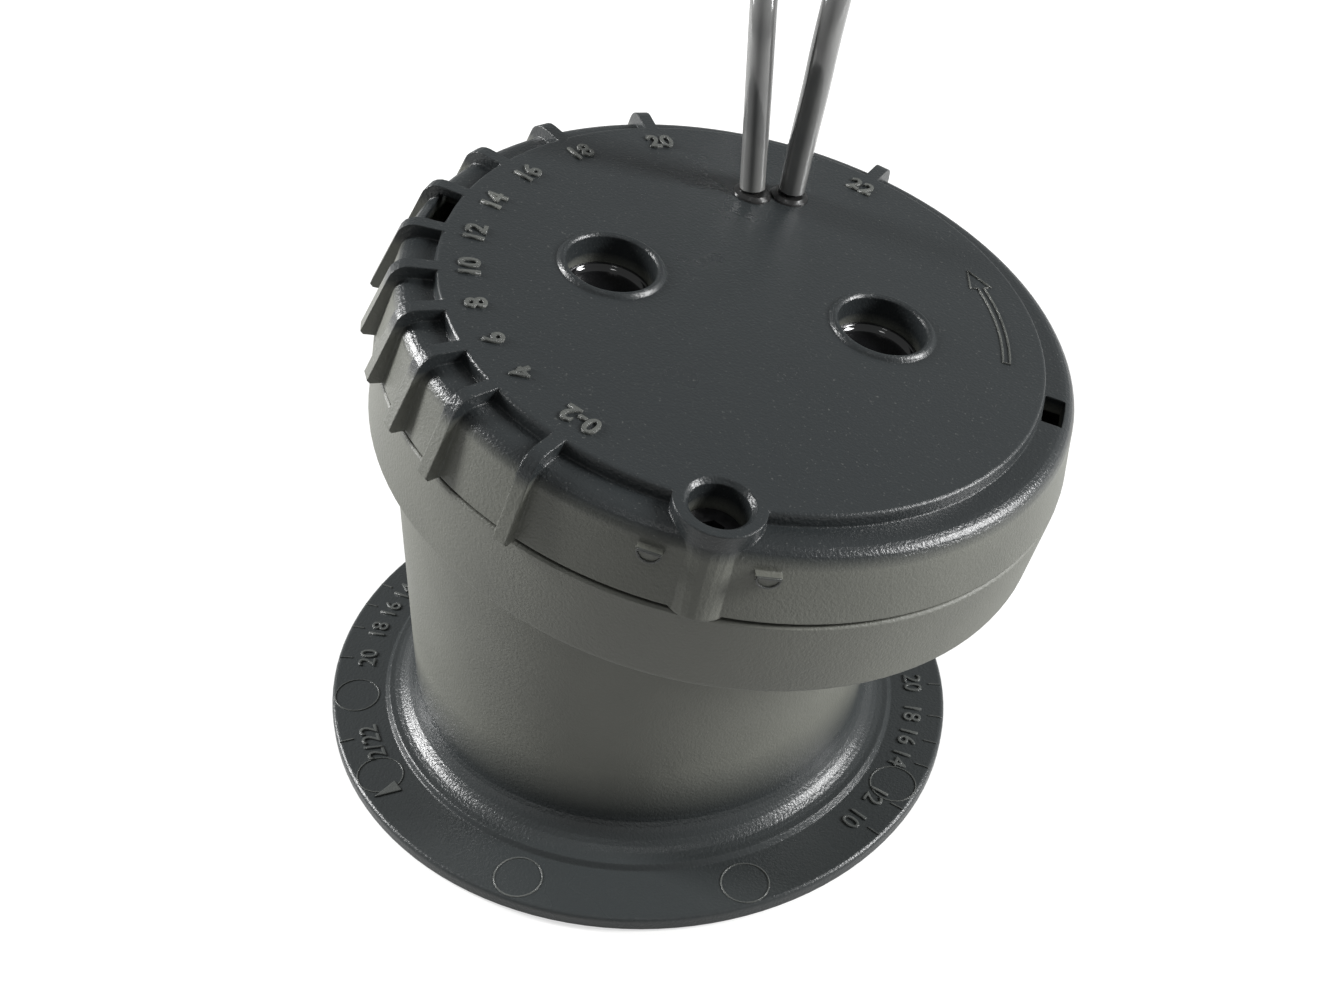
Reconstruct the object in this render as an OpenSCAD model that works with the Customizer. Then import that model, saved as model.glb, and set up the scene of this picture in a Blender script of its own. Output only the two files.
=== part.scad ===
// In-hull depth transducer: an open tank with a bonding flange carries a leaning
// head that turns on it, so that the beam can be set upright at any deadrise
// angle from 0 to 22 degrees. Millimetres, +Z up, origin at the middle of the
// tank's mouth, in the plane of the hull.

/* [Tank] */
// Outer radius of the tank's wall
tank_r = 37.6; // [36.5:0.2:38.4]
// Thickness of the tank's wall
tank_wall = 2.5; // [2:0.1:3]
// How far the bonding flange reaches out past the wall
flange_w = 14.4; // [13:0.2:20]
// Thickness of the bonding flange
flange_t = 2.4; // [1.8:0.1:3]
// How far out past the wall the step at the foot of the cove lies
step_out = 5.4; // [4.6:0.1:7]
// Height of that step above the flange
step_h = 0.8; // [0.5:0.1:1.2]
// Height at which the cove runs out into the wall
cove_top = 8.4; // [7:0.2:12]

/* [Leaning collar] */
// Lean of the head's axis, and of the beam across the head, in degrees
wedge = 11; // [9:0.5:13]
// How far the collar reaches out past the tank's wall
collar_out = 12.4; // [11.4:0.1:14]
// Height of the collar's lower face along the leaning axis
collar_s = 57.4; // [55:0.5:64]
// Height of the collar from its lower face to the parting line
collar_h = 12.5; // [12:0.25:14]
// How far the collar overhangs the wall on its high side
flush_step = 0.5; // [0.4:0.1:1.5]
// How far in from the collar's side the cap's spigot turns in its seat bore
seat_in = 9.5; // [9:0.1:10]
// Thickness of the shelf below the seat bore
shelf_t = 3; // [2.4:0.2:3.6]
// Azimuth of the index mark on the collar, from the lean
index_az = 136.7; // [120:0.5:150]

/* [Cap] */
// Height of the cap from the parting line to the plateau
cap_h = 12.3; // [11.5:0.1:14]
// Gap between the cap's rim and the collar
part_gap = 0.3; // [0.25:0.05:0.5]
// How far in from the collar's side the cap's rim lies
rim_in = 0.1; // [0:0.05:0.6]
// How far in from the rim the raised plateau ends
plateau_in = 7.1; // [6.7:0.1:7.9]
// Depth of the ledge below the plateau
ledge_drop = 1.8; // [1.4:0.1:2.2]
// How far the skirt draws in from its rim to its shoulder
skirt_draft = 1.7; // [1.1:0.1:2.3]
// Thickness of the skirt
skirt_wall = 2.6; // [2:0.1:3]
// Thickness of the plateau
plate_t = 2.4; // [2:0.1:3]
// Running clearance of the spigot in the seat bore
spigot_gap = 0.3; // [0.25:0.05:0.4]
// Thickness of the spigot
spigot_wall = 4.4; // [4:0.1:5]
// Angle of the zero line of the scale on the cap, in degrees
zero_az = 246.5; // [240:0.5:250]
// How far the cap is turned from the zero line as drawn; 131 reads 20 degrees
rest_turn = 131; // [6:1:180]
// Thickness of the grip ribs
rib_t = 2; // [1.6:0.1:2.4]
// How far the ribs stand proud of the skirt
rib_proud = 2; // [1.2:0.1:2.6]

/* [Lock screw] */
// Angle of the lock screw's boss on the cap
boss_az = 270; // [268:0.5:272]
// How far in from the rim the lock screw's axis lies
screw_in = 7.3; // [6.7:0.1:7.5]
// Outer radius of the boss
boss_r = 5.9; // [5.6:0.1:6.4]
// Radius of the recess for the screw's head
recess_r = 3.9; // [3.7:0.1:4.2]
// Radius of the screw's shank
shank_r = 1.8; // [1.6:0.1:1.9]
// Height of the screw's head
screw_head_h = 2.2; // [1.8:0.1:2.6]

/* [Seals and bayonet] */
// Radius of the O-ring's section
ring_r = 1.25; // [1.1:0.05:1.3]
// Reach of the bayonet lugs beyond the spigot
lug_reach = 5.4; // [4.6:0.1:5.8]
// Thickness of the bayonet lugs
lug_t = 2; // [1.6:0.1:2.4]
// Width of the narrow bayonet lug
lug_w = 6; // [5:0.25:6.5]
// Width of the wide bayonet lug, which keys the cap to its slots
key_lug_w = 8.5; // [8:0.25:10]
// Angle of the wide bayonet lug on the cap
lug_az = 170; // [166:1:174]

/* [Potting wells] */
// Radius from the cap's axis to the potting wells
well_pitch_r = 19.2; // [18.6:0.1:20]
// Inner radius of a potting well
well_r = 6.4; // [6:0.1:6.8]
// Radius of the rounded lip round a well
lip_r = 7.7; // [7.4:0.1:8.2]
// Depth of the potting below the plateau
potting_depth = 5.3; // [4.6:0.1:5.8]

/* [Sensor] */
// Thickness of the housing's wall
housing_wall = 2.2; // [1.8:0.1:2.6]
// Clearance of the cup at the top of the housing inside the spigot
cup_gap = 2.2; // [1.2:0.1:2.4]
// Clearance of the housing in the throat of the tank
throat_gap = 1; // [0.8:0.1:1.4]
// Clearance of the sensor's face above the hull at the largest angle
hull_gap = 2.5; // [1.5:0.25:5]
// Thickness of the acoustic window
window_t = 5; // [4:0.25:7]
// Radius of the piezo disc
piezo_r = 14; // [12:0.5:15]
// Thickness of the piezo disc
piezo_t = 6; // [4:0.5:8]
// Thickness of the cork ring round the piezo disc
cork_t = 2; // [1.5:0.25:2.5]
// Thickness of the backing disc
backing_t = 3; // [2:0.5:5]
// Radius of a signal lead
lead_r = 0.6; // [0.4:0.05:0.8]

/* [Cables] */
// Radius of each cable
cable_r = 2; // [1.8:0.05:2]
// Radius of the middle of the coils' turns
coil_mid_r = 30; // [30:1:40]
// Number of turns side by side in a layer of a coil
coil_turns = 8; // [7:1:8]
// Number of layers in a coil
coil_layers = 4; // [3:1:4]
// Spacing of the turns
turn_pitch = 4.1; // [4.05:0.05:4.2]
// Width of a tie
tie_w = 5; // [3:0.5:8]
// Thickness of a tie
tie_t = 1; // [0.8:0.1:1.4]

/* [Plugs] */
// Radius of a plug's body
plug_r = 7; // [6.5:0.1:7.4]
// Length of a plug's body
plug_len = 27; // [24:1:36]
// Outer radius of a coupling ring
coupling_r = 9; // [8.8:0.1:10]
// Length of a coupling ring
coupling_len = 13; // [12:0.5:15]
// Number of grips on a coupling ring
coupling_grips = 12; // [8:1:16]
// Radius of a contact pin
pin_r = 0.6; // [0.4:0.05:0.8]
// Number of contact pins in a plug
pin_count = 5; // [3:1:7]

/* [Hidden] */

run_gap = 0.05;      // radial clearance of pieces that are fixed in each other
move_gap = 0.3;      // clearance of pieces that move past each other
reach = 200;         // longer than anything that is cut

// Radii that follow from the wall's
flange_r = tank_r + flange_w;
step_r = tank_r + step_out;
collar_r = tank_r + collar_out;
seat_r = collar_r - seat_in;
rim_r = collar_r - rim_in;
plateau_r = rim_r - plateau_in;
shoulder_r = rim_r - skirt_draft;
screw_pitch_r = rim_r - screw_in;

// The scale: at reading a, the cap has turned by half_turn(a) from the zero line.
low_mark_turn = 5.25;
release_turn = 184;
function half_turn(a) = 2 * asin(sin(a / 2) / sin(wedge));

// Heights along the leaning axis, from its foot
pivot_z = 1;
shelf_s = collar_s + shelf_t;
parting_s = collar_s + collar_h;
plateau_s = parting_s + cap_h;
head_x = collar_r * cos(wedge) - collar_s * sin(wedge) - tank_r - flush_step;
cap_spin = index_az - zero_az + rest_turn;
beam_az = zero_az - index_az + 180;

// The cap's own heights, measured down from the plateau
rim_z = -cap_h + part_gap;
roof_z = -ledge_drop - plate_t;
shelf_z = shelf_s - plateau_s;
spigot_r = seat_r - spigot_gap;
spigot_in_r = spigot_r - spigot_wall;
cup_r = spigot_in_r - cup_gap;
spigot_z = shelf_z + 0.5;
ring_z = spigot_z + 2.35;
groove_z = ring_z - ring_r - 0.1;
groove_h = 2 * ring_r + 0.2;
groove_r = spigot_r - 2 * ring_r - run_gap + 0.2;
ring_pitch_r = groove_r + run_gap + ring_r;
lug_z = -cap_h - 2.6 - lug_t;
lug_r = spigot_r + lug_reach;
lug_slot_r = lug_r + 0.4;
window_cut_r = lug_r + 0.6;

// The throat is the widest round passage past the shelf at every setting.
bore_r = tank_r - tank_wall;
throat_z = (shelf_s - (bore_r - head_x) * sin(wedge)) / cos(wedge);
throat_r = (bore_r - head_x) * cos(wedge) - throat_z * sin(wedge);
housing_r = throat_r - throat_gap;
housing_in_r = housing_r - housing_wall;
face_s = (hull_gap - pivot_z + housing_r * sin(2 * wedge)) / cos(wedge);
face_z = face_s - plateau_s;
cup_floor_z = shelf_z + 2;
cup_in_r = cup_r - housing_wall;
stack_top = window_t + piezo_t + backing_t;

// The lock screw
seat_z = -7;
tip_z = rim_z;
head_top_z = seat_z + move_gap + screw_head_h;
insert_r = shank_r + 1.3;

// The cables leave the cap at these places, in the cap's own frame.
cable_a_at = [-1.3, 26.4];
cable_b_at = [4.3, 28];
boot_r = cable_r + 0.95;
boot_h = 0.7;
boot_foot_z = -potting_depth - 3;

// The signal leads rise from the piezo disc towards the cables.
lead_x = 6;
lead_len = (boot_foot_z - face_z) * cos(wedge) - window_t - piezo_t - 6;

// The coils lie behind the object, one on the other.
coil_at = [-43, 91, 0];
layer_w = coil_turns * turn_pitch;
coil_out_r = coil_mid_r + layer_w / 2;
coil_in_r = coil_mid_r - layer_w / 2;
coil_h = coil_layers * turn_pitch;
coil_stack = 2 * coil_h;

// Routes of the cables, from the cap over a high arch down to the coils
route_a = [
    [5.1, 24.2, 84.8], [5.1, 24.2, 94], [5.0, 24.4, 103], [4.2, 26.2, 112.3],
    [1.9, 31.8, 118.3], [-1.4, 39.4, 120.5], [-4.6, 47.0, 118.3], [-7.0, 52.5, 112.3],
    [-7.8, 54.6, 104], [-7.8, 54.6, 92], [-7.8, 54.6, 78], [-7.8, 54.6, 64],
    [-7.8, 54.7, 48], [-7.4, 55.2, 34], [-6.0, 57.4, 22], [-3.4, 61.6, 12],
    [0.2, 67.8, 5], [3.0, 75.0, 2.4], [5.3, 84.0, 2.1], [5.9, 92.0, 2.1], [5.0, 100, 2.1]
];
route_b = [
    [10.0, 27.8, 84.0], [11.2, 27.9, 92.8], [12.4, 28.1, 101], [13.1, 28.4, 107],
    [13.6, 30.4, 114.3], [12.6, 36.3, 120.3], [10.5, 44.2, 122.5], [7.7, 52.0, 120.3],
    [5.1, 57.7, 114.3], [3.2, 59.7, 106], [1.1, 59.4, 91], [-0.6, 59.2, 79],
    [-1.8, 58.9, 66], [-2.3, 58.8, 54], [-1.8, 59.4, 44], [-0.6, 61.6, 34.5],
    [1.4, 66.2, 27], [3.6, 73.4, 21.6], [5.4, 82, 19.2], [6.0, 91, 18.6], [5.2, 99, 18.6]
];

// Angles of the ties, clear of the cables and the plugs
tie_az = [78, 245, 303];

// Tails from the coils to the plugs, measured from the middle of the coils
tail_a = [
    [-33.9, 35.1, 14.6], [-41.4, 25.9, 16.6], [-46.5, 15.1, 20.0], [-48.7, 3.4, 25.2],
    [-48.1, -8.5, 31.4], [-44.6, -19.2, 37.0], [-38.4, -27.5, 41.2], [-31.6, -32.1, 42.9],
    [-27.1, -33.6, 43.1], [-24.2, -34.4, 43.1]
];
tail_b = [
    [-35.8, 19.0, 34.9], [-38.1, 10.2, 34.9], [-37.9, 1.8, 35.7], [-36.3, -5.6, 38.4],
    [-33.9, -10.3, 41.4], [-31.2, -12.7, 43.1], [-28.5, -13.4, 43.1]
];

// Places of the plugs, which lie on the coils
plug_z = coil_stack + tie_t + coupling_r + 0.3;
plug_az = -15;
plug_boot_len = 18;
plug_a_at = coil_at + [-6.7, -39.1, plug_z];
plug_b_at = coil_at + [-11, -18.1, plug_z];
collar_w = 3;
pin_pitch_r = 3.4;
socket_depth = 8;

// Faces of the round pieces
fine = 128;
medium = 64;
coarse = 32;

// ---------- frames ----------

module head() {
    translate([head_x, 0, pivot_z]) rotate([0, wedge, 0]) children();
}

module cap_frame() {
    head() translate([0, 0, plateau_s]) rotate([0, 0, cap_spin]) children();
}

module beam_frame() {
    cap_frame() translate([0, 0, face_z])
        rotate([0, 0, beam_az]) rotate([0, wedge, 0]) children();
}

module on_cap(az, r, z) {
    rotate([0, 0, az]) translate([r, 0, z]) children();
}

// Keeps what lies below height s on the leaning axis
module below(s) {
    intersection() {
        children();
        head() translate([-reach, -reach, s - 2 * reach]) cube(2 * reach);
    }
}

// Keeps what lies above height h on the beam's axis
module above_face(h) {
    intersection() {
        children();
        beam_frame() translate([-reach, -reach, h]) cube(2 * reach);
    }
}

function arc(cx, cy, r, from, to, n) =
    [for (i = [0:n]) [cx + r * cos(from + (to - from) * i / n),
                      cy + r * sin(from + (to - from) * i / n)]];

// ---------- tank ----------

module foot_profile() {
    cove_r = step_r - 0.6 - tank_r;
    cove_h = cove_top - flange_t - step_h;
    wall_top = cove_top + 12;
    polygon(concat(
        [[0, 0], [flange_r - 0.3, 0], [flange_r, 0.3]],
        arc(flange_r - 0.7, flange_t - 0.7, 0.7, 0, 90, 4),
        [[step_r, flange_t], [step_r - 0.6, flange_t + step_h]],
        [for (i = [1:8]) [tank_r + cove_r * (1 - sin(90 * i / 8)),
                          flange_t + step_h + cove_h * (1 - cos(90 * i / 8))]],
        [[tank_r, wall_top], [0, wall_top]]));
}

module collar_solid() {
    edge = 0.8;
    rotate_extrude($fn = fine) polygon(concat(
        [[0, 0], [collar_r - edge, 0]],
        arc(collar_r - edge, edge, edge, -90, 0, 4),
        [[collar_r, collar_h - 0.3], [collar_r - 0.3, collar_h], [0, collar_h]]));
}

module index_mark() {
    rotate([0, 0, index_az]) translate([collar_r - 0.6, 0, collar_h - 0.6])
        rotate([90, 0, 90]) linear_extrude(1.2)
            polygon([[0, 0], [1.9, -5], [-1.9, -5]]);
}

module entry_slot(az, w) {
    rotate([0, 0, az]) translate([0, -w / 2 - 0.4, lug_z])
        cube([lug_slot_r, w + 0.8, -lug_z]);
}

module tank() {
    slot_az = lug_az + index_az - zero_az + release_turn;
    color("#3c4042") difference() {
        union() {
            rotate_extrude($fn = fine) foot_profile();
            below(collar_s + 0.5) cylinder(r = tank_r, h = reach, $fn = fine);
            head() translate([0, 0, collar_s]) {
                collar_solid();
                index_mark();
            }
        }
        below(shelf_s) translate([0, 0, -1]) cylinder(r = bore_r, h = reach, $fn = fine);
        head() {
            translate([0, 0, shelf_s]) cylinder(r = seat_r, h = reach, $fn = fine);
            translate([0, 0, plateau_s + lug_z - 0.4])
                cylinder(r = lug_slot_r, h = lug_t + 0.7, $fn = fine);
            translate([0, 0, plateau_s]) {
                entry_slot(slot_az, key_lug_w);
                entry_slot(slot_az + 180, lug_w);
            }
        }
    }
}

// ---------- cap ----------

module cap_profile() {
    shoulder = 2.6;
    shoulder_z = -ledge_drop - shoulder;
    skirt_in_r = shoulder_r - 1;
    polygon(concat(
        [[0, 0]],
        arc(plateau_r - 0.5, -0.5, 0.5, 90, 0, 3),
        [[plateau_r + 0.2, -ledge_drop]],
        arc(shoulder_r - shoulder, shoulder_z, shoulder, 90, 5, 6),
        [[rim_r, rim_z + 0.4], [rim_r - 0.4, rim_z], [rim_r - skirt_wall, rim_z],
         [skirt_in_r, roof_z], [spigot_r, roof_z],
         [spigot_r, groove_z + groove_h], [groove_r, groove_z + groove_h],
         [groove_r, groove_z], [spigot_r, groove_z],
         [spigot_r, spigot_z + 0.6], [spigot_r - 0.6, spigot_z],
         [spigot_in_r, spigot_z], [spigot_in_r, -plate_t], [0, -plate_t]]));
}

module rib(az) {
    top_r = shoulder_r - 2.2;
    foot_r = rim_r + rib_proud;
    rotate([0, 0, az]) translate([0, rib_t / 2, 0]) rotate([90, 0, 0])
        linear_extrude(rib_t) polygon(concat(
            [[plateau_r - 1, 0]],
            arc(top_r, -3, 3, 90, 12, 5),
            [[foot_r, rim_z + 0.5], [foot_r - 0.4, rim_z], [rim_r - 1.2, rim_z],
             [shoulder_r - 0.8, roof_z + 0.6], [plateau_r - 1, roof_z + 0.6]]));
}

module boss_solid() {
    foot_r = 4.5;
    foot_out = rim_r + 1.1;
    on_cap(boss_az, screw_pitch_r, rim_z) {
        cylinder(r = boss_r, h = -rim_z, $fn = medium);
        rotate([0, 0, -90]) hull() {
            translate([0, foot_out - screw_pitch_r - foot_r, 0])
                cylinder(r = foot_r, h = 0.2, $fn = coarse);
            translate([0, 0, -rim_z - 2.2]) cylinder(r = boss_r - 0.1, h = 0.2, $fn = coarse);
        }
    }
}

module well_sleeve(gap) {
    difference() {
        translate([0, 0, -potting_depth - 2])
            cylinder(r = well_r + 1.5 + gap, h = potting_depth + 2 - plate_t / 2, $fn = medium);
        translate([0, 0, -potting_depth - 3])
            cylinder(r = well_r - gap, h = potting_depth + 4, $fn = medium);
    }
}

module well_lip() {
    width = lip_r - well_r;
    rotate_extrude($fn = medium) translate([well_r, 0]) polygon(concat(
        [[0, -1]],
        [for (i = [0:6]) [width * i / 6, 0.6 * sin(180 * (0.12 + 0.88 * i / 6))]],
        [[width, -1]]));
}

module half_moon(az) {
    mark_r = shoulder_r + 0.55;
    rotate([0, 0, az]) translate([mark_r - 0.8, 0, -4.4]) rotate([90, 0, 90])
        linear_extrude(1.4) intersection() {
            circle(r = 1.7, $fn = medium);
            translate([-3, -4]) square([6, 4]);
        }
}

module cable_hole(at) {
    translate([at[0], at[1], -plate_t - 1])
        cylinder(r = boot_r - 0.4, h = plate_t + 3, $fn = medium);
}

module lug(az, w) {
    intersection() {
        rotate([0, 0, az]) translate([spigot_in_r + 1, -w / 2, lug_z])
            cube([reach, w, lug_t]);
        translate([0, 0, lug_z - 1]) cylinder(r = lug_r, h = lug_t + 2, $fn = fine);
    }
}

module lug_window(az, w) {
    intersection() {
        rotate([0, 0, az]) translate([plateau_r + 0.4, -w / 2, roof_z - 1])
            cube([reach, w, 4]);
        translate([0, 0, roof_z - 1]) cylinder(r = window_cut_r, h = 4, $fn = fine);
    }
}

module cap_shell() {
    color("#34383a") cap_frame() difference() {
        union() {
            rotate_extrude($fn = fine) cap_profile();
            rib(zero_az - low_mark_turn);
            for (a = [4:2:2 * wedge]) rib(zero_az - half_turn(a));
            boss_solid();
            for (turn = [0, 180]) {
                rotate([0, 0, turn]) translate([well_pitch_r, 0, 0]) {
                    well_sleeve(0);
                    well_lip();
                }
            }
            lug(lug_az, key_lug_w);
            lug(lug_az + 180, lug_w);
            for (side = [-8.3, 8.6]) half_moon(boss_az + side);
        }
        for (turn = [0, 180]) {
            rotate([0, 0, turn]) translate([well_pitch_r, 0, -plate_t - 1])
                cylinder(r = well_r, h = plate_t + 4, $fn = medium);
        }
        lug_window(lug_az, key_lug_w);
        lug_window(lug_az + 180, lug_w);
        cable_hole(cable_a_at);
        cable_hole(cable_b_at);
        on_cap(boss_az, screw_pitch_r, seat_z) cylinder(r = recess_r, h = reach, $fn = medium);
        on_cap(boss_az, screw_pitch_r, -0.6)
            cylinder(r1 = recess_r, r2 = recess_r + 0.7, h = 0.7, $fn = medium);
        on_cap(boss_az, screw_pitch_r, rim_z - 1)
            cylinder(r = insert_r + run_gap, h = seat_z - rim_z + 2, $fn = medium);
    }
}

module cap_o_ring() {
    color("#202020") cap_frame() translate([0, 0, ring_z]) rotate_extrude($fn = fine)
        translate([ring_pitch_r, 0]) circle(r = ring_r, $fn = coarse);
}

// ---------- lock screw ----------

module lock_screw() {
    socket_r = 1.6;
    color("#6d6f70") cap_frame() on_cap(boss_az, screw_pitch_r, 0) difference() {
        union() {
            translate([0, 0, seat_z + move_gap])
                cylinder(r = recess_r - move_gap, h = screw_head_h, $fn = medium);
            translate([0, 0, tip_z]) cylinder(r = shank_r, h = seat_z - tip_z + 1, $fn = medium);
        }
        translate([0, 0, head_top_z - 1.4]) cylinder(r = socket_r, h = 3, $fn = 6);
    }
}

module thread_insert() {
    color("#b08d4a") cap_frame() on_cap(boss_az, screw_pitch_r, 0) difference() {
        translate([0, 0, rim_z + 0.4])
            cylinder(r = insert_r, h = seat_z - rim_z - 0.4, $fn = medium);
        translate([0, 0, rim_z - 1]) cylinder(r = shank_r + run_gap, h = reach, $fn = medium);
    }
}

// ---------- sensor ----------

module sensor_housing() {
    color("#2c2f30") above_face(0) cap_frame() difference() {
        union() {
            translate([0, 0, cup_floor_z]) cylinder(r = cup_r, h = -plate_t - cup_floor_z, $fn = fine);
            translate([0, 0, -reach]) cylinder(r = housing_r, h = reach + cup_floor_z + 1, $fn = fine);
        }
        translate([0, 0, cup_floor_z + 2.4]) cylinder(r = cup_in_r, h = reach, $fn = fine);
        translate([0, 0, -reach]) cylinder(r = housing_in_r, h = 2 * reach, $fn = fine);
    }
}

// A slice of the housing's bore, between two heights on the beam's axis
module bore_slice(from, to) {
    difference() {
        above_face(from) cap_frame() translate([0, 0, -reach])
            cylinder(r = housing_in_r - run_gap, h = reach, $fn = fine);
        beam_frame() translate([-reach, -reach, to]) cube(2 * reach);
    }
}

module acoustic_window() {
    color("#57524a") bore_slice(0, window_t);
}

module piezo_disc() {
    color("#b9b39d") beam_frame() translate([0, 0, window_t])
        cylinder(r = piezo_r, h = piezo_t, $fn = medium);
}

module cork_ring() {
    color("#a97c50") beam_frame() translate([0, 0, window_t]) difference() {
        cylinder(r = piezo_r + run_gap + cork_t, h = piezo_t + backing_t, $fn = medium);
        translate([0, 0, -1])
            cylinder(r = piezo_r + run_gap, h = piezo_t + backing_t + 2, $fn = medium);
    }
}

module backing_disc() {
    color("#9b7044") difference() {
        beam_frame() translate([0, 0, window_t + piezo_t])
            cylinder(r = piezo_r, h = backing_t, $fn = medium);
        leads(run_gap);
    }
}

// Both leads run up from the piezo disc, square to it, as straight rods.
module leads(gap) {
    for (side = [-1, 1]) beam_frame() translate([side * lead_x, 0, window_t + piezo_t])
        cylinder(r = lead_r + gap, h = lead_len + gap, $fn = coarse);
}

module signal_leads() {
    color("#c4302b") leads(0);
}

module potting_fill() {
    color("#1a1c1d") difference() {
        union() {
            bore_slice(stack_top, reach);
            cap_frame() translate([0, 0, cup_floor_z + 2.4])
                cylinder(r = cup_in_r - run_gap, h = -potting_depth - cup_floor_z - 2.4, $fn = fine);
        }
        cap_frame() {
            translate([-reach, -reach, -potting_depth]) cube(2 * reach);
            for (turn = [0, 180]) rotate([0, 0, turn]) translate([well_pitch_r, 0, 0])
                well_sleeve(run_gap);
            for (at = [cable_a_at, cable_b_at]) translate([at[0], at[1], boot_foot_z - run_gap])
                cylinder(r = boot_r - 0.4, h = reach, $fn = medium);
        }
        leads(run_gap);
    }
}

// ---------- cables ----------

module cable_boot(at) {
    color("#26282a") cap_frame() translate([at[0], at[1], 0]) {
        translate([0, 0, boot_foot_z])
            cylinder(r = boot_r - 0.4 - run_gap, h = -boot_foot_z, $fn = medium);
        rotate_extrude($fn = medium) polygon([[0, 0], [boot_r, 0], [boot_r - 0.1, 0.3],
            [cable_r + 0.3, boot_h], [0, boot_h]]);
    }
}

module cable_boot_a() {
    cable_boot(cable_a_at);
}

module cable_boot_b() {
    cable_boot(cable_b_at);
}

function unit(v) = v / norm(v);
function along(p, i) = unit(p[min(i + 1, len(p) - 1)] - p[max(i - 1, 0)]);
function side_of(t) = unit(cross(t, abs(t[2]) > 0.8 ? [0.92, 0.39, 0] : [0, 0, 1]));
function ring_at(c, t, r, n) = [for (k = [0:n - 1])
    c + r * cos(360 * k / n) * side_of(t) + r * sin(360 * k / n) * cross(t, side_of(t))];

// Sweeps a round cable along the points of a route
module swept_cable(route, r) {
    n = 10;
    rings = [for (i = [0:len(route) - 1]) each ring_at(route[i], along(route, i), r, n)];
    last = (len(route) - 1) * n;
    polyhedron(points = rings, faces = concat(
        [[for (k = [0:n - 1]) k]],
        [for (i = [0:len(route) - 2], k = [0:n - 1])
            [i * n + k, (i + 1) * n + k, (i + 1) * n + (k + 1) % n, i * n + (k + 1) % n]],
        [[for (k = [n - 1:-1:0]) last + k]]));
}

module cable(route, tail) {
    color("#55585a") {
        swept_cable(route, cable_r);
        translate(coil_at) swept_cable(tail, cable_r);
    }
}

module cable_a() {
    cable(route_a, tail_a);
}

module cable_b() {
    cable(route_b, tail_b);
}

module coil(z) {
    color("#4a4d4f") translate(coil_at + [0, 0, z]) rotate_extrude($fn = medium)
        translate([coil_in_r, 0]) square([layer_w, coil_h]);
}

module coil_a() {
    coil(0);
}

module coil_b() {
    coil(coil_h);
}

// Flat ties round the section of both coils
module coil_ties() {
    color("#1c1d1e") translate(coil_at)
        for (az = tie_az) rotate([0, 0, az]) {
            translate([coil_in_r - tie_t - 0.3, -tie_w / 2, coil_stack])
                cube([layer_w + 2 * tie_t + 0.8, tie_w, tie_t]);
            translate([coil_in_r - tie_t - 0.3, -tie_w / 2, 0])
                cube([tie_t, tie_w, coil_stack + tie_t]);
            translate([coil_out_r + 0.5, -tie_w / 2, 0])
                cube([tie_t, tie_w, coil_stack + tie_t]);
        }
}

// ---------- plugs ----------

module plug_frame(at) {
    translate(at) rotate([0, 0, plug_az]) rotate([0, 90, 0]) children();
}

module plug_body(at) {
    color("#2a2c2e") plug_frame(at) difference() {
        union() {
            cylinder(r = plug_r, h = plug_len, $fn = medium);
            translate([0, 0, 2]) cylinder(r = coupling_r - 0.6, h = collar_w, $fn = medium);
        }
        translate([0, 0, plug_len - socket_depth])
            cylinder(r = plug_r - 1.2, h = socket_depth + 1, $fn = medium);
    }
}

// The ring turns on the body, in front of its shoulder
module plug_ring(at) {
    color("#1f2123") plug_frame(at) translate([0, 0, 2 + collar_w + move_gap]) difference() {
        cylinder(r = coupling_r, h = coupling_len, $fn = medium);
        translate([0, 0, -1]) cylinder(r = plug_r + move_gap, h = coupling_len + 2, $fn = medium);
        for (i = [0:coupling_grips - 1]) rotate([0, 0, 360 * i / coupling_grips])
            translate([coupling_r + 0.9, 0, 1.5])
                cylinder(r = 1.5, h = coupling_len - 3, $fn = coarse);
    }
}

module plug_pins(at) {
    color("#c8a94e") plug_frame(at) {
        for (i = [0:pin_count - 1]) rotate([0, 0, 360 * i / pin_count])
            translate([pin_pitch_r, 0, plug_len - socket_depth])
                cylinder(r = pin_r, h = socket_depth - 1.5, $fn = coarse);
    }
}

module plug_boot(at) {
    color("#242628") plug_frame(at) rotate([180, 0, 0]) {
        cylinder(r1 = plug_r - 1, r2 = cable_r + 1, h = plug_boot_len, $fn = medium);
    }
}

module plug_a_body() { plug_body(plug_a_at); }

module plug_a_ring() { plug_ring(plug_a_at); }

module plug_a_pins() { plug_pins(plug_a_at); }

module plug_a_boot() { plug_boot(plug_a_at); }

module plug_b_body() { plug_body(plug_b_at); }

module plug_b_ring() { plug_ring(plug_b_at); }

module plug_b_pins() { plug_pins(plug_b_at); }

module plug_b_boot() { plug_boot(plug_b_at); }

tank();
cap_shell();
cap_o_ring();
sensor_housing();
acoustic_window();
piezo_disc();
cork_ring();
backing_disc();
potting_fill();
signal_leads();
lock_screw();
thread_insert();
cable_boot_a();
cable_boot_b();
cable_a();
cable_b();
coil_a();
coil_b();
coil_ties();
plug_a_body();
plug_a_ring();
plug_a_pins();
plug_a_boot();
plug_b_body();
plug_b_ring();
plug_b_pins();
plug_b_boot();
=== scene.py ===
import bpy
from math import asin, atan2, cos, degrees, hypot, pi, radians, sin
from mathutils import Matrix, Vector


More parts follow.
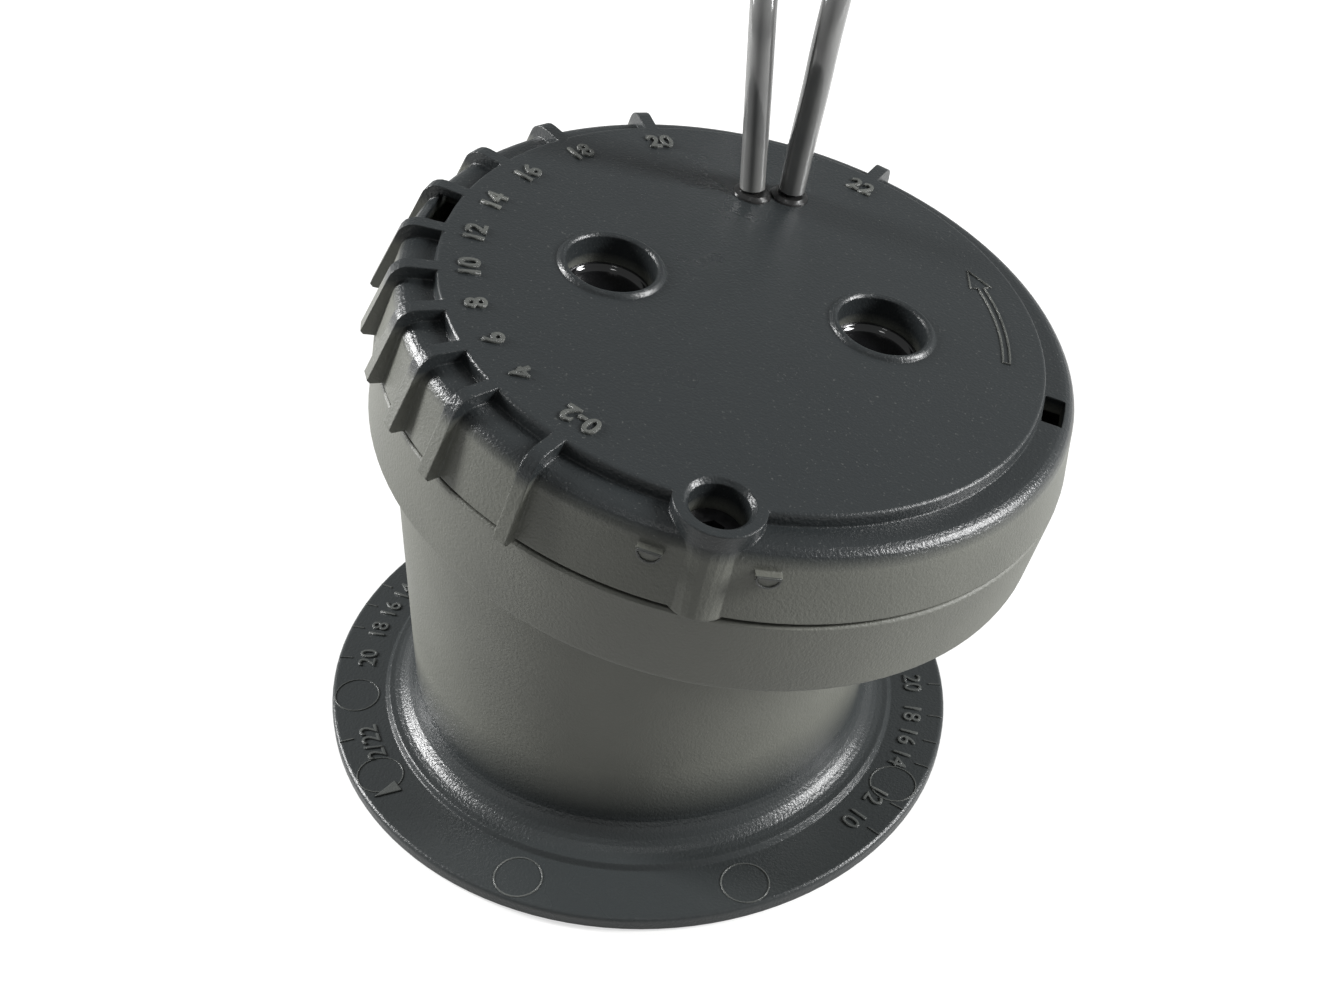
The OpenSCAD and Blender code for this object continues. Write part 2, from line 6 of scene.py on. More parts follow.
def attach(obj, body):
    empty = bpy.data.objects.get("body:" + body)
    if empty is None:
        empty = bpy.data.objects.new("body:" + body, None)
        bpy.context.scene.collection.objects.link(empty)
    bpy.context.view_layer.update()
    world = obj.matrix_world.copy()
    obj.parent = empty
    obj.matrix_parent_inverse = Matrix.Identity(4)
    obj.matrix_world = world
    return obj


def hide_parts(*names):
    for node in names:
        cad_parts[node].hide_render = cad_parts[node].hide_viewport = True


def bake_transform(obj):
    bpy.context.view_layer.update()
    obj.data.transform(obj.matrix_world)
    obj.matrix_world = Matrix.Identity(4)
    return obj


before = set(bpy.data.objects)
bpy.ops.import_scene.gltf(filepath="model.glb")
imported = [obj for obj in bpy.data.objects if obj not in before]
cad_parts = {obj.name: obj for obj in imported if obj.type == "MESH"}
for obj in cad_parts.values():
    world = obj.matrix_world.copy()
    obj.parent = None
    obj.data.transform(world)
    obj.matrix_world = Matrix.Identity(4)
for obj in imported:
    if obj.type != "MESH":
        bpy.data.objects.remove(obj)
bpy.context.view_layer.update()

MM = 0.001


# ---- Tank -------------------------------------------------------------------------
# One injection-moulded piece of black glass-filled nylon: a bonding flange, a cove, a straight
# wall and a leaning collar. The mould was spark-eroded, which leaves a fine even grain on the
# wall and the collar, and a smoother, shinier flange. The cove and the flange are painted darker
# below 18 mm, and fully below 8 mm: a painted shade.
WEDGE = radians(11)
FLANGE_T = 2.4
TANK_R = 37.6
COLLAR_R = 50.0
COLLAR_S = 57.4
COLLAR_H = 12.5


def shader(name):
    material = bpy.data.materials.new(name)
    material.use_nodes = True
    tree = material.node_tree
    return material, tree, tree.nodes["Principled BSDF"]


def noise(tree, size_mm, detail=2.0, roughness=0.5):
    coords = tree.nodes.new("ShaderNodeTexCoord")
    node = tree.nodes.new("ShaderNodeTexNoise")
    node.inputs["Scale"].default_value = 1000.0 / size_mm
    node.inputs["Detail"].default_value = detail
    node.inputs["Roughness"].default_value = roughness
    tree.links.new(coords.outputs["Object"], node.inputs["Vector"])
    return node.outputs["Fac"]


def spread(tree, value, low, high, from_low=0.3, from_high=0.7):
    node = tree.nodes.new("ShaderNodeMapRange")
    node.inputs["From Min"].default_value = from_low
    node.inputs["From Max"].default_value = from_high
    node.inputs["To Min"].default_value = low
    node.inputs["To Max"].default_value = high
    tree.links.new(value, node.inputs["Value"])
    return node.outputs["Result"]


def two_tones(tree, value, dark, light):
    node = tree.nodes.new("ShaderNodeMix")
    node.data_type = "RGBA"
    node.inputs["A"].default_value = (*dark, 1)
    node.inputs["B"].default_value = (*light, 1)
    tree.links.new(value, node.inputs["Factor"])
    return node.outputs["Result"]


def bump(tree, height, strength, depth_mm, below=None):
    node = tree.nodes.new("ShaderNodeBump")
    node.inputs["Strength"].default_value = strength
    node.inputs["Distance"].default_value = depth_mm * MM
    tree.links.new(height, node.inputs["Height"])
    if below is not None:
        tree.links.new(below, node.inputs["Normal"])
    return node.outputs["Normal"]


def mix_in(tree, factor, base, colour):
    node = tree.nodes.new("ShaderNodeMix")
    node.data_type = "RGBA"
    node.inputs["B"].default_value = (*colour, 1)
    tree.links.new(base, node.inputs["A"])
    tree.links.new(factor, node.inputs["Factor"])
    return node.outputs["Result"]


def scaled(tree, value, other):
    node = tree.nodes.new("ShaderNodeMath")
    node.operation = "MULTIPLY"
    tree.links.new(value, node.inputs[0])
    tree.links.new(other, node.inputs[1])
    return node.outputs["Value"]


def moulded(name, dark, light, rough, grain_mm, grain_depth, dust=0.0, gloss_and_painted_shade=None):
    """Moulded plastic: a fine grain over slow waves, with duller and dustier patches.
    The last argument is (axis, heights between which the tone darkens into a painted shade, the
    same for the gloss, the painted shade tone, its share of the roughness), matt end first."""
    material, tree, surface = shader(name)
    patches = noise(tree, 14.0, 3.0)
    tone = two_tones(tree, spread(tree, patches, 0, 1), dark, light)
    gloss = spread(tree, patches, rough - 0.05, rough + 0.06)
    if gloss_and_painted_shade is not None:
        axis, tone_ends, gloss_ends, painted_shade_tone, share = gloss_and_painted_shade
        coords = tree.nodes.new("ShaderNodeTexCoord")
        along = tree.nodes.new("ShaderNodeVectorMath")
        along.operation = "DOT_PRODUCT"
        along.inputs[1].default_value = axis
        tree.links.new(coords.outputs["Object"], along.inputs[0])
        height = along.outputs["Value"]
        # Along the axis the tone darkens into a painted shade.
        shade = spread(tree, height, 0, 1, tone_ends[0] * MM, tone_ends[1] * MM)
        tone = mix_in(tree, shade, tone, painted_shade_tone)
        gloss = scaled(tree, gloss, spread(tree, height, 1, share, gloss_ends[0] * MM,
                                           gloss_ends[1] * MM))
    if dust:
        specks = spread(tree, noise(tree, 0.38, 1.0), 0, dust, 0.68, 0.80)
        tone = mix_in(tree, specks, tone, (0.22, 0.225, 0.21))
    tree.links.new(tone, surface.inputs["Base Color"])
    tree.links.new(gloss, surface.inputs["Roughness"])
    surface.inputs["Specular IOR Level"].default_value = 0.44
    edges = tree.nodes.new("ShaderNodeBevel")
    edges.samples = 4
    edges.inputs["Radius"].default_value = 0.35 * MM
    waves = bump(tree, noise(tree, 22.0, 1.0), 0.25, 0.5, edges.outputs["Normal"])
    grain = bump(tree, noise(tree, grain_mm, 2.0, 0.6), 0.6, grain_depth, waves)
    tree.links.new(grain, surface.inputs["Normal"])
    return material


def dress(node, material):
    for item in bpy.data.objects[node].material_slots:
        item.material = material


# Below 18 mm the tone turns to a darker painted shade over the cove and the flange.
TANK_PLASTIC = moulded(
    "tank_plastic", (0.126, 0.129, 0.112), (0.156, 0.159, 0.139), 0.48, 0.42, 0.14,
    gloss_and_painted_shade=((0, 0, 1), (18.0, 8.0), (15.0, 9.0), (0.033, 0.037, 0.038), 0.58)
)
dress("tank", TANK_PLASTIC)


# ---- Flange marks -------------------------------------------------------------------
# Two equal deadrise scales, half a turn apart, with a filled pointer each. They are cut
# into the mould of the tank, so on the part they stand a fraction of a millimetre proud.
SCALE = {22: 86.7, 20: 64.3, 18: 55.6, 16: 48.8, 14: 42.4, 12: 31.0, 10: 23.5}
SCALE_STARTS = (140.5, -39.5)
POINTER_AZ = 242.5
PIN_AZ = (238.1, 215.5, 275.5, 317.3, 356.0)
TICK_R = (49.4, 51.6)
LABEL_R = 46.6
PIN_R = 47.8
PIN_MARK_R = 3.65
SLASH_OFFSET = 91.6
CHARACTER_H = 2.9
FLANGE_TOP = Matrix.Translation((0, 0, FLANGE_T * MM))
# The marks are painted paler than the flange around them: a painted highlight for the glints on
# their edges.
MARK_PLASTIC = moulded(
    "mark_plastic", (0.050, 0.054, 0.053), (0.120, 0.126, 0.120), 0.25, 0.3, 0.12
)


def deselect():
    if bpy.context.object and bpy.context.object.mode != "OBJECT":
        bpy.ops.object.mode_set(mode="OBJECT")
    bpy.ops.object.select_all(action="DESELECT")


def mesh_piece(name, verts, faces, place, body, material, smooth=False):
    """A piece from vertices in mm, in the frame that place gives, riding on a CAD body."""
    mesh = bpy.data.meshes.new(name)
    mesh.from_pydata([place @ (Vector(v) * MM) for v in verts], [], faces)
    mesh.update()
    mesh.materials.append(material)
    if smooth:
        mesh.shade_smooth()
    piece = bpy.data.objects.new(name, mesh)
    bpy.context.collection.objects.link(piece)
    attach(piece, body)
    return piece


def polar(radius, degree, z=0.0):
    return (radius * cos(radians(degree)), radius * sin(radians(degree)), z)


def raised_line(verts, faces, path, width, height, closed=False, sink=0.05):
    """Adds a bead along a level path: a flat foot, sloping sides and a narrower crest."""
    count = len(path)
    first = len(verts)
    for i, point in enumerate(path):
        before = path[i - 1] if closed or i else path[i]
        after = path[(i + 1) % count] if closed or i < count - 1 else path[i]
        along = Vector((after[0] - before[0], after[1] - before[1])).normalized()
        side = Vector((-along.y, along.x))
        for reach, z in ((width / 2, -sink), (width / 3.2, height),
                         (-width / 3.2, height), (-width / 2, -sink)):
            verts.append((point[0] + side.x * reach, point[1] + side.y * reach, point[2] + z))
    for i in range(count if closed else count - 1):
        a = first + 4 * i
        b = first + 4 * ((i + 1) % count)
        for k in range(4):
            faces.append((a + k, a + (k + 1) % 4, b + (k + 1) % 4, b + k))
    if not closed:
        faces.append((first + 3, first + 2, first + 1, first))
        end = first + 4 * (count - 1)
        faces.append((end, end + 1, end + 2, end + 3))


def raised_text(name, labels, place, cap_height, proud, body, material, bold=0.0):
    """Raised characters on a level face. Each label is (text, radius, degree), top outward."""
    deselect()
    parts = []
    for text, radius, degree in labels:
        bpy.ops.object.text_add()
        item = bpy.context.object
        item.data.body = text
        item.data.align_x = "CENTER"
        item.data.align_y = "CENTER"
        item.data.size = cap_height / 0.7
        item.data.extrude = proud / 2
        item.data.bevel_depth = 0.04
        item.data.bevel_resolution = 1
        item.data.offset = bold
        item.data.resolution_u = 4
        bpy.ops.object.convert(target="MESH")
        item.data.transform(place @ Matrix.Scale(MM, 4)
                            @ Matrix.Rotation(radians(degree), 4, "Z")
                            @ Matrix.Translation((radius, 0, proud / 2 - 0.03))
                            @ Matrix.Rotation(radians(-90), 4, "Z"))
        parts.append(item)
        item.select_set(False)
    for item in parts:
        item.select_set(True)
    bpy.context.view_layer.objects.active = parts[0]
    bpy.ops.object.join()
    piece = bpy.context.object
    piece.name = name
    piece.data.materials.clear()
    piece.data.materials.append(material)
    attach(piece, body)
    return piece


line_verts, line_faces = [], []
for start in SCALE_STARTS:
    for offset in SCALE.values():
        tick = [polar(radius, start + offset) for radius in TICK_R]
        raised_line(line_verts, line_faces, tick, 0.32, 0.16)
for degree in PIN_AZ:
    centre = Vector(polar(PIN_R, degree))
    ring = [tuple(centre + Vector(polar(PIN_MARK_R, 15 * k))) for k in range(24)]
    raised_line(line_verts, line_faces, ring, 0.30, 0.12, closed=True)
mesh_piece("flange_lines", line_verts, line_faces, FLANGE_TOP, "tank", MARK_PLASTIC)

pointer_verts, pointer_faces = [], []
for start in (POINTER_AZ, POINTER_AZ - 180):
    turned = Matrix.Rotation(radians(start), 3, "Z")
    outline = [Vector((46.4, 1.15, 0)), Vector((46.4, -1.15, 0)), Vector((50.6, 0, 0))]
    first = len(pointer_verts)
    for z in (-0.05, 0.22):
        pointer_verts += [tuple(turned @ (corner + Vector((0, 0, z)))) for corner in outline]
    pointer_faces += [(first + 3, first + 5, first + 4)[::-1], (first, first + 2, first + 1)]
    pointer_faces += [(first + k, first + (k + 1) % 3, first + 3 + (k + 1) % 3, first + 3 + k)
                      for k in range(3)]
mesh_piece("flange_pointers", pointer_verts, pointer_faces, FLANGE_TOP, "tank", MARK_PLASTIC)

flange_labels = [(str(number), LABEL_R, start + offset)
                 for start in SCALE_STARTS for number, offset in SCALE.items()]
flange_labels += [("2/", LABEL_R, start + SLASH_OFFSET) for start in SCALE_STARTS]
raised_text("flange_numerals", flange_labels, FLANGE_TOP, CHARACTER_H, 0.25, "tank",
            MARK_PLASTIC)


# ---- Cap ----------------------------------------------------------------------------
# The turning head is moulded in the same nylon, but its plateau was polished a little more. Its
# plateau and the top of its shoulder are painted darker than its sides: a painted shade, as they
# face up, away from the side lamps. It keeps a fine speckle and picks up dust. Its frame leans
# with the collar and is turned to the reading of 20.
FOOT_Z = 1.0
PARTING_S = COLLAR_S + COLLAR_H
PLATEAU_S = PARTING_S + 12.3
HEAD_X = COLLAR_R * cos(WEDGE) - COLLAR_S * sin(WEDGE) - TANK_R - 0.5
ZERO_AZ = 246.5
CAP_SPIN = radians(136.7 - ZERO_AZ + 131.0)

HEAD = Matrix.Translation(Vector((HEAD_X, 0, FOOT_Z)) * MM) @ Matrix.Rotation(WEDGE, 4, "Y")
CAP = HEAD @ Matrix.Translation((0, 0, PLATEAU_S * MM)) @ Matrix.Rotation(CAP_SPIN, 4, "Z")

# The plateau and the top of the shoulder take a darker painted shade.
CAP_PLASTIC = moulded(
    "cap_plastic", (0.116, 0.119, 0.103), (0.146, 0.149, 0.130), 0.44, 0.42, 0.14, dust=0.30,
    gloss_and_painted_shade=((sin(WEDGE), 0, cos(WEDGE)), (79.0, 80.7), (78.6, 80.5), (0.024, 0.0275, 0.0290),
            0.66)
)
dress("cap_shell", CAP_PLASTIC)


# ---- Dial marks ---------------------------------------------------------------------
# Raised numerals beside the grip ribs give the hull's deadrise in degrees, and a double line with
# a head shows which way the cap comes off. Both are moulded with the cap. They are painted paler
# than the plateau: a painted highlight that stands for the glints on their edges.
DIAL_R = 38.2
ARROW_IN_R = 36.5
ARROW_OUT_R = 37.5
ARROW_AZ = 357
DIAL_PLASTIC = moulded(
    "dial_plastic", (0.045, 0.048, 0.047), (0.130, 0.135, 0.124), 0.24, 0.30, 0.20
)


def half_turn(deadrise):
    """Degrees the cap turns from level to where the two wedges add up to this deadrise."""
    return 2 * degrees(asin(sin(radians(deadrise) / 2) / sin(WEDGE)))


dial_labels = [("0-2", DIAL_R, ZERO_AZ - 5.25)]
dial_labels += [(str(n), DIAL_R, ZERO_AZ - half_turn(n)) for n in range(4, 23, 2)]
raised_text("dial_numerals", dial_labels, CAP, CHARACTER_H, 0.35, "cap", DIAL_PLASTIC,
            bold=0.06)

arrow_verts, arrow_faces = [], []
shaft = [polar(ARROW_IN_R, ARROW_AZ + 1.5 * k) for k in range(19)]
head = [polar(35.3, 24.0), polar(37.0, 30.5), polar(38.7, 24.0)]
back_edge = [polar(ARROW_OUT_R, ARROW_AZ + 1.5 * k) for k in range(18, -1, -1)]
raised_line(arrow_verts, arrow_faces, shaft + head + back_edge, 0.30, 0.22, closed=True)
mesh_piece("release_arrow", arrow_verts, arrow_faces, CAP, "cap", DIAL_PLASTIC)

# The rims take the dial marks' paler tone, a painted highlight along the half-moons' edges.
for name, side in (("half_moon_rim_a", -8.3), ("half_moon_rim_b", 8.6)):
    rim_verts, rim_faces = [], []
    outline = [(0, 1.5, 0), (0, -1.5, 0)] + [
        (1.5 * sin(radians(15 * k)), -1.5 * cos(radians(15 * k)), 0) for k in range(1, 12)]
    raised_line(rim_verts, rim_faces, outline, 0.42, 0.22, closed=True)
    spot = (CAP @ Matrix.Rotation(radians(270 + side), 4, "Z")
            @ Matrix.Translation(Vector((49.33, 0, -4.55)) * MM)
            @ Matrix.Rotation(radians(90), 4, "Y"))
    mesh_piece(name, rim_verts, rim_faces, spot, "cap", DIAL_PLASTIC)


# ---- Potting ------------------------------------------------------------------------
# Black epoxy poured into the housing through the cap's two wells. It set with a glossy
# skin that climbs the wall a little and dips in the middle.
WELL_PITCH_R = 19.2
POTTING_DEPTH = 5.3


def epoxy():
    material, tree, surface = shader("potting")
    surface.inputs["Base Color"].default_value = (0.010, 0.010, 0.011, 1)
    tree.links.new(spread(tree, noise(tree, 2.5), 0.04, 0.14), surface.inputs["Roughness"])
    tree.links.new(bump(tree, noise(tree, 5.0, 1.0), 0.25, 0.4), surface.inputs["Normal"])
    surface.inputs["Coat Weight"].default_value = 0.6
    surface.inputs["Coat Roughness"].default_value = 0.04
    return material


EPOXY = epoxy()
dress("potting_fill", EPOXY)
SKIN_STEPS = 48
skin_profile = [(6.28, 1.25), (6.05, 0.80), (5.6, 0.42), (4.9, 0.20), (3.8, 0.14), (2.6, 0.22),
                (1.4, 0.34), (0.0, 0.40)]
for name, side in (("potting_skin_a", 0), ("potting_skin_b", 180)):
    centre = Vector(polar(WELL_PITCH_R, side, -POTTING_DEPTH))
    verts, faces = [], []
    around = SKIN_STEPS
    for radius, z in skin_profile[:-1]:
        verts += [tuple(centre + Vector(polar(radius, 360 * k / around, z)))
                  for k in range(around)]
    verts.append(tuple(centre + Vector((0, 0, skin_profile[-1][1]))))
    rows = len(skin_profile) - 1
    for row in range(rows - 1):
        for k in range(around):
            n = (k + 1) % around
            faces.append((row * around + k, row * around + n,
                          (row + 1) * around + n, (row + 1) * around + k))
    for k in range(around):
        faces.append(((rows - 1) * around + k, (rows - 1) * around + (k + 1) % around,
                      len(verts) - 1))
    foot = len(verts)
    verts += [tuple(centre + Vector(polar(skin_profile[0][0], 360 * k / around, -0.05)))
              for k in range(around)]
    for k in range(around):
        n = (k + 1) % around
        faces.append((k, foot + k, foot + n, n))
    faces.append(tuple(range(foot, foot + around))[::-1])
    mesh_piece(name, verts, faces, CAP, "cap", EPOXY, smooth=True)


# ---- Sensor stack -------------------------------------------------------------------
# A turned plastic housing holds a piezo disc in a cork ring behind a cast epoxy window.
# A backing disc of the same cork damps it, and two sleeved leads rise to the cables.
def simple(name, dark, light, rough, grain_mm, grain_depth, metal=0.0):
    material, tree, surface = shader(name)
    tones = spread(tree, noise(tree, grain_mm * 3, 3.0), 0, 1)
    tree.links.new(two_tones(tree, tones, dark, light), surface.inputs["Base Color"])
    tree.links.new(spread(tree, noise(tree, grain_mm * 2, 2.0), rough - 0.07, rough + 0.07),
                   surface.inputs["Roughness"])
    tree.links.new(bump(tree, noise(tree, grain_mm, 2.0), 0.5, grain_depth),
                   surface.inputs["Normal"])
    surface.inputs["Metallic"].default_value = metal
    return material


HOUSING = simple("housing_plastic", (0.020, 0.021, 0.020), (0.030, 0.031, 0.030),
                 0.42, 0.5, 0.05)
CORK = simple("cork", (0.22, 0.11, 0.045), (0.46, 0.27, 0.13), 0.85, 0.9, 0.30)
dress("sensor_housing", HOUSING)
dress("acoustic_window", simple("window_epoxy", (0.085, 0.072, 0.055), (0.120, 0.104, 0.082),
                                0.32, 0.7, 0.03))
dress("piezo_disc", simple("piezo_ceramic", (0.52, 0.47, 0.36), (0.62, 0.57, 0.46),
                           0.45, 0.4, 0.02))
dress("cork_ring", CORK)
dress("backing_disc", CORK)
dress("signal_leads", simple("lead_sleeve", (0.42, 0.025, 0.018), (0.52, 0.040, 0.028),
                             0.38, 0.3, 0.02))


# ---- Seal, boots and lock screw -----------------------------------------------------
# The O-ring and the two cable boots are nitrile rubber. A stainless screw runs in a brass insert
# and bears on the collar, which locks the dial. Its steel is coloured near black, a painted shade
# for the deep hole it sits in.
RUBBER = simple("seal_rubber", (0.012, 0.012, 0.012), (0.020, 0.020, 0.020), 0.50, 0.35, 0.04)
GLOSSY_RUBBER = simple("boot_rubber", (0.012, 0.012, 0.012), (0.020, 0.020, 0.020),
                       0.24, 0.8, 0.10)
dress("cap_o_ring", RUBBER)
for node in ("cable_boot_a", "cable_boot_b"):
    dress(node, GLOSSY_RUBBER)
dress("lock_screw", simple("screw_steel", (0.050, 0.050, 0.052), (0.085, 0.085, 0.088),
                           0.40, 0.25, 0.03, metal=1.0))
dress("thread_insert", simple("brass", (0.42, 0.28, 0.09), (0.58, 0.40, 0.15), 0.34, 0.3, 0.02,
                              metal=1.0))


# ---- Cables and coils ---------------------------------------------------------------
# Two 4 mm screened cables in a glossy dark grey jacket, 6 m each. They rise from the
# cap, arch over behind it and lie in two round coils, one on the other.
CABLE_R = 2.0
COIL_AT = (-43.0, 91.0)
COIL_MID_R = 30.0
TURN_PITCH = 4.1
COIL_TURNS = 8
COIL_LAYERS = 4
COIL_H = COIL_LAYERS * TURN_PITCH

ROUTE_A = [
    (5.1, 24.2, 84.8), (5.1, 24.2, 94), (5.0, 24.4, 103), (4.2, 26.2, 112.3),
    (1.9, 31.8, 118.3), (-1.4, 39.4, 120.5), (-4.6, 47.0, 118.3), (-7.0, 52.5, 112.3),
    (-7.8, 54.6, 104), (-7.8, 54.6, 92), (-7.8, 54.6, 78), (-7.8, 54.6, 64),
    (-7.8, 54.7, 48), (-7.4, 55.2, 34), (-6.0, 57.4, 22), (-3.4, 61.6, 12),
    (0.2, 67.8, 5), (3.0, 75.0, 2.4), (5.3, 84.0, 2.1), (5.9, 92.0, 2.1), (5.0, 100, 2.1),
]
ROUTE_B = [
    (10.0, 27.8, 84.0), (11.2, 27.9, 92.8), (12.4, 28.1, 101), (13.1, 28.4, 107),
    (13.6, 30.4, 114.3), (12.6, 36.3, 120.3), (10.5, 44.2, 122.5), (7.7, 52.0, 120.3),
    (5.1, 57.7, 114.3), (3.2, 59.7, 106), (1.1, 59.4, 91), (-0.6, 59.2, 79),
    (-1.8, 58.9, 66), (-2.3, 58.8, 54), (-1.8, 59.4, 44), (-0.6, 61.6, 34.5),
    (1.4, 66.2, 27), (3.6, 73.4, 21.6), (5.4, 82, 19.2), (6.0, 91, 18.6), (5.2, 99, 18.6),
]
TAIL_A = [
    (-33.9, 35.1, 14.6), (-41.4, 25.9, 16.6), (-46.5, 15.1, 20.0), (-48.7, 3.4, 25.2),
    (-48.1, -8.5, 31.4), (-44.6, -19.2, 37.0), (-38.4, -27.5, 41.2), (-31.6, -32.1, 42.9),
    (-27.1, -33.6, 43.1), (-24.2, -34.4, 43.1),
]
TAIL_B = [
    (-35.8, 19.0, 34.9), (-38.1, 10.2, 34.9), (-37.9, 1.8, 35.7), (-36.3, -5.6, 38.4),
    (-33.9, -10.3, 41.4), (-31.2, -12.7, 43.1), (-28.5, -13.4, 43.1),
]
POINTS_PER_TURN = 14
MERGE = radians(60)
CLIMB = radians(136)


def coil_turns(entry, base_z):
    """The turns of a coil, wound in and out in layers from where the cable meets it."""
    out_r = COIL_MID_R + (COIL_TURNS - 1) * TURN_PITCH / 2
    in_r = COIL_MID_R - (COIL_TURNS - 1) * TURN_PITCH / 2
    angle = atan2(entry[1] - COIL_AT[1], entry[0] - COIL_AT[0])
    entry_r = hypot(entry[0] - COIL_AT[0], entry[1] - COIL_AT[1])
    z = base_z + TURN_PITCH / 2
    step = 2 * pi / POINTS_PER_TURN
    stretches = [(MERGE, entry_r, out_r, z, z)]
    for layer in range(COIL_LAYERS):
        ends = (out_r, in_r) if layer % 2 == 0 else (in_r, out_r)
        stretches.append((2 * pi * (COIL_TURNS - 1), *ends, z, z))
        if layer < COIL_LAYERS - 1:
            stretches.append((CLIMB, ends[1], ends[1], z, z + TURN_PITCH))
            z += TURN_PITCH
    points = []
    for sweep, from_r, to_r, from_z, to_z in stretches:
        count = max(3, round(sweep / step))
        for i in range(1, count + 1):
            t = i / count
            a = angle + sweep * t
            r = from_r + (to_r - from_r) * t
            points.append((COIL_AT[0] + r * cos(a), COIL_AT[1] + r * sin(a),
                           from_z + (to_z - from_z) * t))
        angle += sweep
    return points


def jacket():
    material, tree, surface = shader("cable_jacket")
    tone = two_tones(tree, spread(tree, noise(tree, 9.0), 0, 1), (0.130, 0.131, 0.130),
                     (0.190, 0.191, 0.186))
    tree.links.new(tone, surface.inputs["Base Color"])
    scuffs = noise(tree, 1.6, 3.0)
    tree.links.new(spread(tree, scuffs, 0.10, 0.22), surface.inputs["Roughness"])
    surface.inputs["Specular IOR Level"].default_value = 0.9
    surface.inputs["Coat Weight"].default_value = 0.5
    surface.inputs["Coat Roughness"].default_value = 0.08
    tree.links.new(bump(tree, noise(tree, 3.5, 2.0), 0.2, 0.12), surface.inputs["Normal"])
    return material


JACKET = jacket()


def cable(name, route, tail, base_z, tube, coil):
    """A jacketed cable from the cap to its plug, as a tube along a smooth line."""
    curve = bpy.data.curves.new(name, "CURVE")
    curve.dimensions = "3D"
    curve.resolution_u = 4
    tail_points = [(COIL_AT[0] + x, COIL_AT[1] + y, z) for x, y, z in tail]
    points = route + coil_turns(route[-1], base_z) + tail_points
    spline = curve.splines.new("BEZIER")
    spline.bezier_points.add(len(points) - 1)
    for knot, point in zip(spline.bezier_points, points):
        knot.co = Vector(point) * MM
        knot.handle_left_type = "AUTO"
        knot.handle_right_type = "AUTO"
    curve.materials.append(JACKET)
    piece = bpy.data.objects.new(name, curve)
    bpy.context.collection.objects.link(piece)
    line = piece.evaluated_get(bpy.context.evaluated_depsgraph_get()).to_mesh()
    curve.bevel_depth = CABLE_R * MM
    curve.bevel_resolution = 3
    curve.use_fill_caps = True
    deselect()
    piece.select_set(True)
    bpy.context.view_layer.objects.active = piece
    bpy.ops.object.convert(target="MESH")
    piece.data.shade_smooth()
    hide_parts(tube, coil)
    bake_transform(piece)
    return piece


cable("cable_a_run", ROUTE_A, TAIL_A, 0.0, "cable_a", "coil_a")
cable("cable_b_run", ROUTE_B, TAIL_B, COIL_H, "cable_b", "coil_b")


# ---- Ties and plugs -----------------------------------------------------------------
# Three black nylon straps hold the coils. Each cable ends in a moulded plug with a ribbed
# coupling ring, a soft boot and five gold-plated pins.
def strap():
    material, tree, surface = shader("tie_strap")
    surface.inputs["Roughness"].default_value = 0.75
    coords = tree.nodes.new("ShaderNodeTexCoord")
    weave = tree.nodes.new("ShaderNodeTexWave")
    weave.inputs["Scale"].default_value = 320
    weave.inputs["Distortion"].default_value = 1.5
    tree.links.new(coords.outputs["Object"], weave.inputs["Vector"])
    tree.links.new(two_tones(tree, weave.outputs["Fac"], (0.012, 0.012, 0.013),
                             (0.034, 0.034, 0.036)), surface.inputs["Base Color"])
    tree.links.new(bump(tree, weave.outputs["Fac"], 0.6, 0.15), surface.inputs["Normal"])
    return material


PLUG = simple("plug_plastic", (0.014, 0.014, 0.015), (0.024, 0.024, 0.025), 0.36, 0.5, 0.05)
PINS = simple("pin_gold", (0.70, 0.50, 0.16), (0.82, 0.60, 0.22), 0.25, 0.3, 0.01, metal=1.0)
dress("coil_ties", strap())
for side in ("a", "b"):
    for part, material in (("body", PLUG), ("ring", PLUG), ("pins", PINS), ("boot", RUBBER)):
        dress(f"plug_{side}_{part}", material)


# ---- Studio -------------------------------------------------------------------------
# A sheet of white paper under two tall soft lamps at the sides and a small one in
# front. The camera looks down on the dial.
CAMERA_AZ = radians(26.09)
CAMERA_EL = radians(38.34)
CAMERA_ROLL = radians(1.73)
CAMERA_TARGET = Vector((7.18, -6.10, 46.8)) * MM
CAMERA_DISTANCE = 243.65 * MM
FOCAL_MM = 43.71

scene = bpy.context.scene
back = Vector((sin(CAMERA_AZ) * cos(CAMERA_EL), -cos(CAMERA_AZ) * cos(CAMERA_EL), sin(CAMERA_EL)))
camera_data = bpy.data.cameras.new("camera")
camera_data.lens = FOCAL_MM
camera_data.sensor_width = 36.0
camera_data.clip_start = 0.01
camera = bpy.data.objects.new("camera", camera_data)
bpy.context.collection.objects.link(camera)
turn = back.to_track_quat("Z", "Y").to_matrix().to_4x4() @ Matrix.Rotation(CAMERA_ROLL, 4, "Z")
camera.matrix_world = Matrix.Translation(CAMERA_TARGET + back * CAMERA_DISTANCE) @ turn
scene.camera = camera


